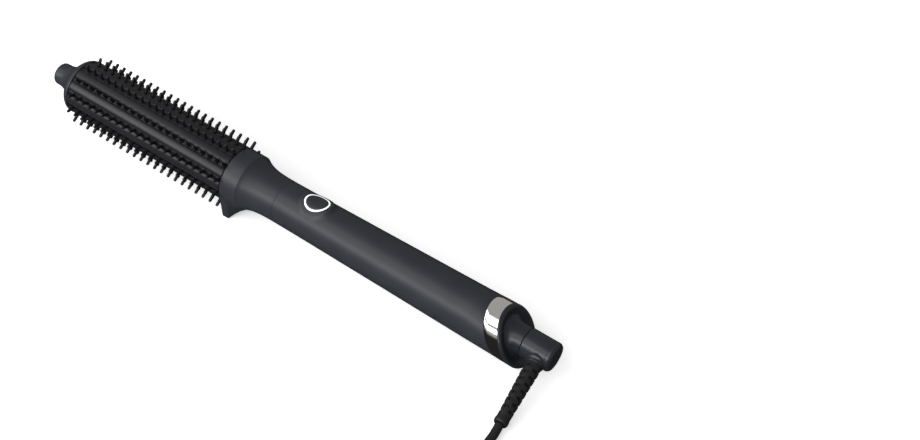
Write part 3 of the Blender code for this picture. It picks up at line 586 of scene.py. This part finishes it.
def make_collar():
    """Rings of x, radius, depth of the foot and half its width; the foot's bottom is levelled."""
    deep = FOOT_DEPTH + 0.5
    front = [
        (COLLAR_FRONT, 13.5, 13.5, 3), (COLLAR_FRONT, 15.3, deep - 1.6, FOOT_HALF - 1.0),
        (128.55, 15.6, deep - 1.1, FOOT_HALF - 0.6), (128.75, 15.88, deep - 0.5, FOOT_HALF - 0.25),
        (129.1, 16.0, deep, FOOT_HALF), (131.0, 16.0, deep, FOOT_HALF),
    ]
    rear = [(131.0, 16.0, deep, FOOT_HALF), (132.5, 16.0, 21.2, FOOT_HALF - 0.2), (133.3, 16.0, 20.2, 11.7),
            (134.6, 16.0, 18.6, 9.9), (136.4, 16.0, 17.1, 7.6), (138.2, 16.0, 16.25, 5.6)]
    edge = [(138.6, 15.97, 16.1, 5.2), (138.85, 15.85, 15.9, 5.0)]
    hollow = [(138.85, 15.85, 15.9, 5.0), (139.7, 15.3, 15.35, 4.6), (141.2, 14.55, 14.6, 4),
              (143.4, 13.75, 13.75, 3), (146.2, 13.0, 13.0, 2), (149.8, 12.5, 12.5, 1),
              (154.5, 12.2, 12.2, 0), (160.2, NECK_R, NECK_R, 0)]
    seam = [(160.4, NECK_R - 0.02, NECK_R - 0.02, 0), (160.46, NECK_R - 0.08, NECK_R - 0.08, 0),
            (160.46, 10.2, 10.2, 0), (136.2, 10.2, 10.2, 0), (134.2, 13.5, 13.5, 0)]
    stations = front + [tuple(s) for s in flowing(rear, 4)[1:]] + edge
    stations += [tuple(s) for s in flowing(hollow, 5)[1:]] + seam
    count, rings, floor_gap = 144, [], 0.05
    for x, radius, depth, half_width in stations:
        ring = []
        for i in range(count):
            psi = 360 * i / count
            point = at(x, foot_radius(psi - 180, radius, depth, half_width), psi)
            height = TIP_HEIGHT - point.x * sin(TILT) + point.z * cos(TILT)
            if height < floor_gap:
                point.z += (floor_gap - height) / cos(TILT)
            ring.append(point)
        rings.append(ring)
    points, faces = skin(rings, closed=True)
    piece("collar_shell", points, faces, CHARCOAL, "brush", ["collar"], sharp=38)


def handle_radius(x):
    t = max(0.0, (x - NECK_SEAM) / (SWELL_END - NECK_SEAM))
    return NECK_R + (END_R - NECK_R) * t**1.15


def crown(x, y):
    """The height of the power button's crowned and leaning top, from its middle."""
    return BUTTON_HEIGHT + BUTTON_LEAN * x - y * y / BUTTON_CROWN


def egg_point(t, length, width):
    """A point of an egg outline round the button's middle; its blunt end points to the tip."""
    return length / 2 * cos(t), width / 2 * sin(t) * (1 - EGG_BLUNT * cos(t))


def egg(length, width, count):
    return [egg_point(2 * pi * i / count, length, width) for i in range(count)]


def egg_radius(turn, length, width):
    """Distance from the middle of an egg outline to its edge in this direction, by bisection."""
    low, high = turn - 0.35, turn + 0.35
    for _ in range(24):
        t = (low + high) / 2
        x, y = egg_point(t, length, width)
        off = (atan2(y, x) - turn + pi) % (2 * pi) - pi
        low, high = (t, high) if off < 0 else (low, t)
    return hypot(x, y)


def handle_ring(x, drop, slope=0.0):
    """A ring of the handle's outside, drop below it, with the button's pad raised from it. The
    points are closer together at the top, where the pad is."""
    count, crowding, reach = 200, 22, 13
    ring = []
    for i in range(count):
        psi = 360 * i / count
        point = at(x, handle_radius(x) - drop, psi - crowding * sin(radians(psi)))
        dx, dy = point.x - BUTTON_X, point.y
        if point.z > 0 and hypot(dx, dy) < reach:
            outside = hypot(dx, dy) - egg_radius(atan2(dy, dx), PAD_LENGTH, PAD_WIDTH)
            top = crown(dx, dy) - 0.15
            blend = 1 - ease((outside - 0.2) / (1.7 + 0.9 * max(0.0, dx / 10)))
            point.z += max(0.0, top - point.z) * blend
        point.x -= slope * point.z
        ring.append(point)
    return ring


def cut_button_hole(shell):
    outline = egg(HOLE_LENGTH, HOLE_WIDTH, 96)
    points, faces = capped([[Vector((BUTTON_X + x, y, z)) for x, y in outline] for z in (8.0, 17.0)])
    cutter = placed("button_hole", points, faces, AXIS)
    cut = shell.modifiers.new("button_hole", "BOOLEAN")
    cut.operation, cut.object, cut.solver = "DIFFERENCE", cutter, "EXACT"
    bpy.context.view_layer.update()
    graph = bpy.context.evaluated_depsgraph_get()
    holed = bpy.data.meshes.new_from_object(shell.evaluated_get(graph))
    shell.modifiers.clear()
    shell.data = holed
    holed.set_sharp_from_angle(angle=radians(38))
    bpy.data.objects.remove(cutter)


def make_handle():
    start, rear = NECK_SEAM + 0.03, BAND_START - 0.25
    near_button = [BUTTON_X + 0.45 * i for i in range(-28, 31)]
    ahead, behind = near_button[0] - start - 1.2, rear - 16 - near_button[-1]
    rings = [handle_ring(x, drop) for x, drop in ((start, 0.08), (start + 0.06, 0.02), (start + 0.3, 0))]
    rings += [handle_ring(start + 0.8 + i * ahead / 4, 0) for i in range(4)]
    rings += [handle_ring(x, 0) for x in near_button]
    rings += [handle_ring(near_button[-1] + 0.6 + i * behind / 14, 0) for i in range(15)]
    for x, drop in ((rear - 0.25, 0), (rear - 0.06, 0.05), (rear, 0.2), (rear, WALL)):
        rings.append(handle_ring(x, drop, END_SLOPE))
    rings += [handle_ring(x, WALL) for x in (rear - 20, start)]
    points, faces = skin(rings, closed=True)
    shell = piece("handle_tube", points, faces, CHARCOAL, None, ["handle_shell"], sharp=38)
    cut_button_hole(shell)
    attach(shell, "brush")


def make_band():
    """A mirror-bright band, cut on a slope at both ends like the handle behind it."""
    middle = [(BAND_START + 0.25 + i * 1.925, 0) for i in range(5)]
    outside = [(BAND_START, 0.25), (BAND_START + 0.06, 0.07), *middle]
    outside += [(BAND_END - 0.06, 0.07), (BAND_END, 0.25)]
    line = [(x, handle_radius(x) + 0.06 - inset, END_SLOPE) for x, inset in outside]
    line += [(x, 13.0, END_SLOPE) for x in (BAND_END, BAND_START)]
    oblique("end_band", line, NICKEL, ["metal_band"])


def make_end_cap():
    """The sloping end of the handle: a rolled rim round a dished face."""
    front = BAND_END + 0.25
    corners = [
        (300, 11.9, 0, 0.0), (front, 11.9, 0, END_SLOPE), (front, END_R - 0.02, 0.15, END_SLOPE),
        (RIM_X - 0.1, END_R, 0, END_SLOPE),
    ]
    rim = [
        (RIM_X, 14.58, END_SLOPE), (307.75, 14.4, END_SLOPE), (308.2, 14.0, END_SLOPE), (308.45, 13.45, 0.6),
        (308.45, 12.8, 0.61), (308.2, 12.0, 0.62), (307.8, 11.1, 0.63), (307.45, 10.0, 0.64),
    ]
    line = filleted(corners) + flowing(rim, 4)
    line += [(307.1, 8.0, 0.64), (301.5, 8.0, 0), (301.5, 10.2, 0), (300, 10.2, 0)]
    oblique("end_shell", line, SATIN, ["end_cap"])


def make_neck():
    """The fixed neck of the cord swivel, with a soft fillet where it leaves the recessed face."""
    fillet = [
        (306.0, 9.9, 0.64), (307.5, 9.9, 0.64), (307.7, 9.4, 0.62), (308.0, 8.95, 0.58), (308.45, 8.5, 0.52),
        (309.0, 8.2, 0.44), (309.8, 7.99, 0.32), (310.8, 7.92, 0.18), (311.8, 7.9, 0.06),
    ]
    end = [(312.7, 7.9, 0), (312.92, 7.82, 0), (313.0, 7.6, 0), (313.0, 4.4, 0), (300, 4.4, 0)]
    oblique("swivel_root", [(300, 7.4, 0), *fillet, *end], SATIN, ["swivel_neck"], count=96)


# ---------------------------------------------------------------- power button


def egg_stack(name, levels, material, body, nodes, hollow=False):
    """A piece from eggs (length, width, height over the crown). A height over 5 mm is one over the
    brush's axis instead. A hollow piece's last egg joins its first; others are closed at both ends."""
    rings = []
    for length, width, z in levels:
        outline = egg(length, width, 72)
        rings.append([Vector((BUTTON_X + x, y, z if z > 5 else crown(x, y) + z)) for x, y in outline])
    points, faces = skin(rings, closed=True) if hollow else capped(rings)
    piece(name, points, faces, material, body, nodes, sharp=50)


def make_button():
    """The lit ring, which is fixed, and the dished cap inside it, which can be pressed."""
    ring = [
        (14.3, 12.1, 10.7), (14.3, 12.1, -0.25), (14.22, 12.02, -0.1), (14.05, 11.85, -0.02),
        (13.75, 11.55, 0.0), (13.35, 11.15, 0.0), (13.05, 10.85, -0.02), (12.88, 10.68, -0.1),
        (12.8, 10.6, -0.25), (12.8, 10.6, 10.7),
    ]
    egg_stack("light_ring", ring, LIGHT, "brush", ["button_ring"], hollow=True)
    cap = [
        (12.4, 10.2, 11.4), (12.4, 10.2, -0.3), (12.25, 10.05, -0.14), (11.9, 9.7, -0.05),
        (11.2, 9.0, 0.0), (8.0, 6.2, -0.08), (4.0, 3.1, -0.16), (0.6, 0.5, -0.18),
    ]
    egg_stack("power_button_cap", cap, CHARCOAL, "power_button", ["button_cap"])


# ---------------------------------------------------------------- swivel and strain relief


def relief_frame():
    turn = RELIEF_WAY.to_track_quat("X", "Z").to_matrix().to_4x4()
    turn.translation = Vector((RELIEF_X, 0, 0)) * MM
    return AXIS @ turn


def make_swivel():
    """The turning end, its cap, and the boss that the strain relief comes out of."""
    shell = filleted([
        (313.3, 4.0, 0), (313.3, SWIVEL_R, 0.22), (327.15, SWIVEL_R, 0.06), (327.15, 6.0, 0), (313.3, 4.0, 0),
    ])
    lathe("swivel_shell", shell, SATIN, "cord_swivel", ["swivel_housing"])
    end = filleted([
        (327.22, 3.0, 0), (327.22, SWIVEL_R, 0.05), (328.9, SWIVEL_R - 0.02, 0.35), (330.3, 7.0, 0.8),
        (SWIVEL_END, 4.0, 0), (SWIVEL_END, 0, 0),
    ])
    lathe("swivel_end", end, SATIN, "cord_swivel", ["swivel_cap"])
    boss = filleted([
        (4.0, 5.8, 0), (7.15, 5.75, 0.5), (7.9, 5.0, 0.8), (9.4, 4.9, 0.5), (9.45, 4.2, 0), (4.0, 4.2, 0),
    ])
    lathe("relief_boss", boss, SATIN, "cord_swivel", place=relief_frame())


def slot_depth(distance, psi):
    """Depth of the slots at this distance along the sleeve and this angle round it, in degrees."""
    if not SLOT_FIRST - 1 < distance < SLOT_LAST + 1:
        return 0.0
    depth = 0.0
    for column in range(SLOT_COLUMNS):
        turn = (psi - 360 / SLOT_COLUMNS * column - 15 + 180) % 360 - 180
        shift = (distance - SLOT_FIRST - SLOT_PITCH / 2 * (column % 2)) / SLOT_PITCH
        along = (shift - round(shift)) * SLOT_PITCH
        if SLOT_FIRST <= distance - along <= SLOT_LAST + 0.1:
            across = 1 - ease((abs(turn) - 21) / 4)
            depth = max(depth, SLOT_DEPTH * across * (1 - ease((abs(along) - 0.62) / 0.26)))
    return depth


def make_relief():
    """A tapered sleeve with staggered slots round it and a plain bead at its end."""
    count, rings = 120, []
    start, end, step = 6.0, 42.4, 0.12
    distance = start
    while distance < end:
        taper = 4.45 - (distance - 9) / 33
        turns = [360 * i / count for i in range(count)]
        rings.append([at(distance, taper - slot_depth(distance, psi), psi) for psi in turns])
        distance += step
    bead = [(42.6, 3.42), (42.9, 3.62), (43.2, 3.72), (44.6, 3.66), (45.2, 3.5), (45.55, 3.2), (45.68, 2.8)]
    rings += [circle(x, radius, count) for x, radius in [*bead, (RELIEF_END, 2.35)]]
    points, faces = skin(rings)
    return piece("relief_sleeve", points, faces, RUBBER, "cord_swivel", ["strain_relief"], relief_frame())


make_camera()
make_studio()
dress_cad_nodes()
make_cord(make_plug(), make_tie(), make_relief())
make_tip()
make_barrel()
make_bristles()
make_collar()
make_handle()
make_band()
make_end_cap()
make_neck()
make_button()
make_swivel()
